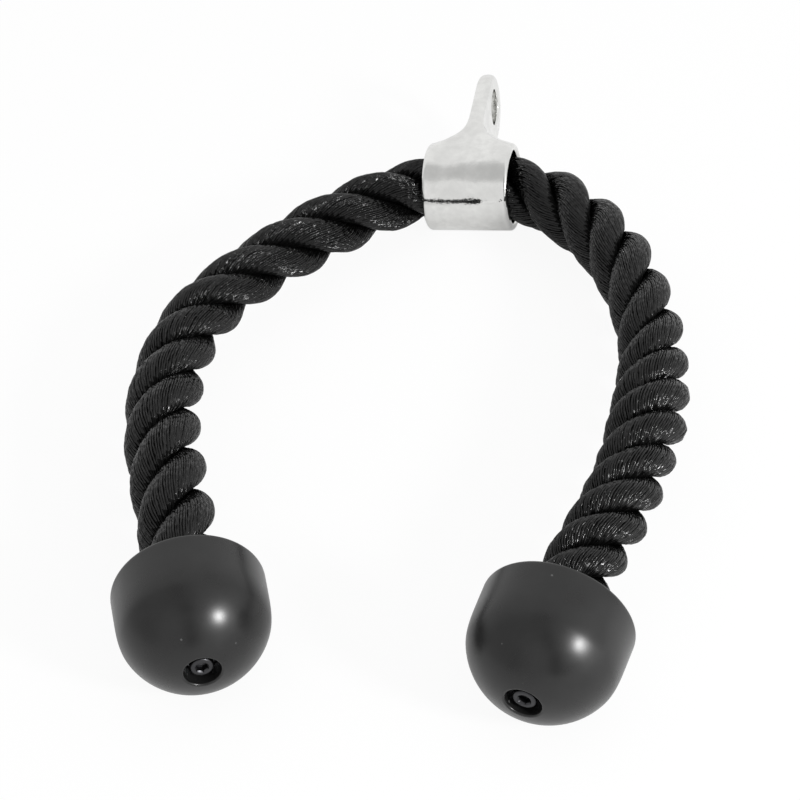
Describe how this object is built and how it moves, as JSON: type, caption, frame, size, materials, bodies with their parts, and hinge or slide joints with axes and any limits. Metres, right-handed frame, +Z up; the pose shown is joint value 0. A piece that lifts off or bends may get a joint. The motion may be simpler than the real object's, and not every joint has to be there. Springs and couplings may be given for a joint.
{
  "type": "triceps rope",
  "caption": "Cable attachment: thick laid rope through a chromed collar with a hanging eye, a moulded bell-shaped stopper screwed on each end.",
  "frame": {"origin": "on the table, under the middle of the rigid pieces' box", "axes": "+X along the collar's bore, +Y from the stoppers to the eye, +Z up from the table the rope lies on"},
  "size_m": [0.229, 0.3704, 0.0564],
  "materials": {
    "collar": "polished plating over a casting",
    "grip_sleeve": "thin black liner",
    "rope_centre": "laid black synthetic yarn",
    "rope_bend_left": "laid black synthetic yarn",
    "rope_bend_right": "laid black synthetic yarn",
    "rope_leg_left": "laid black synthetic yarn",
    "rope_leg_right": "laid black synthetic yarn",
    "stopper_left": "moulded, satin",
    "stopper_right": "moulded, satin",
    "rope_cup_left": "zinc plate",
    "rope_cup_right": "zinc plate",
    "cup_nut_left": "zinc plate",
    "cup_nut_right": "zinc plate",
    "washer_left": "zinc plate",
    "washer_right": "zinc plate",
    "cap_screw_left": "black oxide",
    "cap_screw_right": "black oxide"
  },
  "bodies": {
    "collar": {"collar": "collar"},
    "rope": {"rope_centre": "rope_centre", "grip_sleeve": "grip_sleeve", "rope_bend_left": "rope_bend_left", "rope_bend_right": "rope_bend_right"},
    "left_leg": {"rope_leg_left": "rope_leg_left", "rope_cup_left": "rope_cup_left", "cup_nut_left": "cup_nut_left", "stopper_left": "stopper_left", "washer_left": "washer_left", "cap_screw_left": "cap_screw_left"},
    "right_leg": {"rope_leg_right": "rope_leg_right", "rope_cup_right": "rope_cup_right", "cup_nut_right": "cup_nut_right", "stopper_right": "stopper_right", "washer_right": "washer_right", "cap_screw_right": "cap_screw_right"}
  },
  "joints": [
    {"name": "collar_swivel", "type": "hinge", "parent": "collar", "child": "rope", "pos_m": [-0.01099, 0.12023, 0.01989], "axis": [1, 0, 0], "continuous": true},
    {"name": "left_bend", "type": "hinge", "parent": "rope", "child": "left_leg", "pos_m": [-0.05149, 0.10744, 0.02008], "axis": [0, 0, 1], "range_deg": [-55, 7], "stiffness_Nm_per_rad": 0.6, "deforming": ["rope_bend_left"]},
    {"name": "right_bend", "type": "hinge", "parent": "rope", "child": "right_leg", "pos_m": [0.02931, 0.10713, 0.02009], "axis": [0, 0, 1], "range_deg": [-7, 55], "stiffness_Nm_per_rad": 0.6, "deforming": ["rope_bend_right"]}
  ]
}
